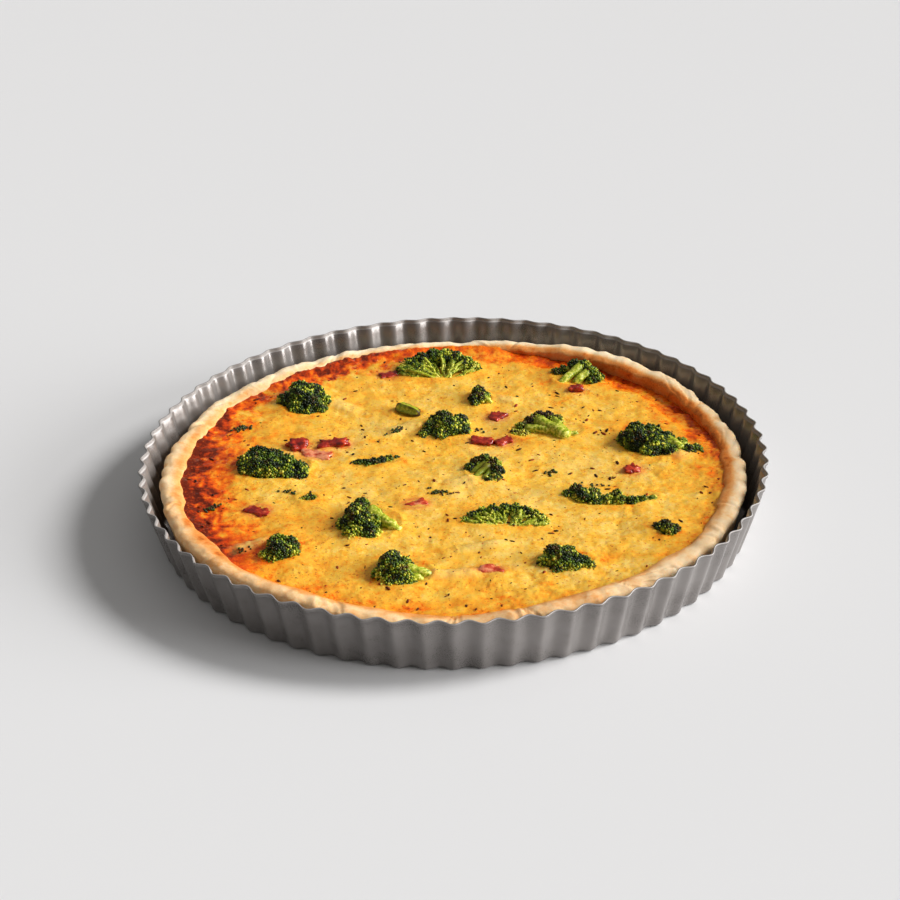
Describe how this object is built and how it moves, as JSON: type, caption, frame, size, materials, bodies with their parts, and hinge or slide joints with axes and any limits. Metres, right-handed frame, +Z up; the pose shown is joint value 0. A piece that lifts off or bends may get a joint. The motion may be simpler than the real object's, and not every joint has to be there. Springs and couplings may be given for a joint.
{
  "type": "tart pan",
  "caption": "Round fluted tart pan with a loose push-up base, holding a baked quiche of pastry, egg, broccoli and ham that lifts out.",
  "frame": {"origin": "middle of the pan's underside, on the surface it stands on", "axes": "+Z up through the middle of the pan; +X through a crest of the flutes; the front of the quiche, as it is served, faces -Y"},
  "size_m": [0.2796, 0.2796, 0.028],
  "materials": {
    "coated_steel": "satin non-stick coating",
    "base_steel": "satin non-stick coating",
    "pastry": "baked, dry and matt",
    "egg": "baked, moist and soft-glossed",
    "broccoli": "matt with bead-like buds",
    "ham": "moist"
  },
  "bodies": {
    "ring": {"fluted_ring": "coated_steel"},
    "base": {"loose_base": "base_steel"},
    "tart": {"broccoli_arch": "broccoli", "broccoli_back_fan": "broccoli", "broccoli_back_left": "broccoli", "broccoli_back_right": "broccoli", "broccoli_centre": "broccoli", "broccoli_front_left": "broccoli", "broccoli_front_right": "broccoli", "broccoli_front_tree": "broccoli", "broccoli_hook": "broccoli", "broccoli_left_large": "broccoli", "broccoli_long_stalk": "broccoli", "broccoli_right_large": "broccoli", "broccoli_small_back": "broccoli", "broccoli_small_left": "broccoli", "broccoli_small_right": "broccoli", "broccoli_stem_slice": "broccoli", "broccoli_strip_left": "broccoli", "broccoli_strip_right": "broccoli", "broccoli_tree_left": "broccoli", "egg_filling": "egg", "ham_back": "ham", "ham_back_middle": "ham", "ham_by_stalk": "ham", "ham_centre": "ham", "ham_front": "ham", "ham_left_cube": "ham", "ham_left_flat": "ham", "ham_left_front": "ham", "ham_left_long": "ham", "ham_middle_small": "ham", "ham_middle_wide": "ham", "ham_right": "ham", "pastry_crust": "pastry"}
  },
  "joints": [
    {"name": "base_lift", "type": "slide", "parent": "ring", "child": "base", "axis": [0, 0, 1], "range_m": [0, 0.06]},
    {"name": "tart_lift", "type": "slide", "parent": "base", "child": "tart", "axis": [0, 0, 1], "range_m": [0, 0.05]}
  ]
}
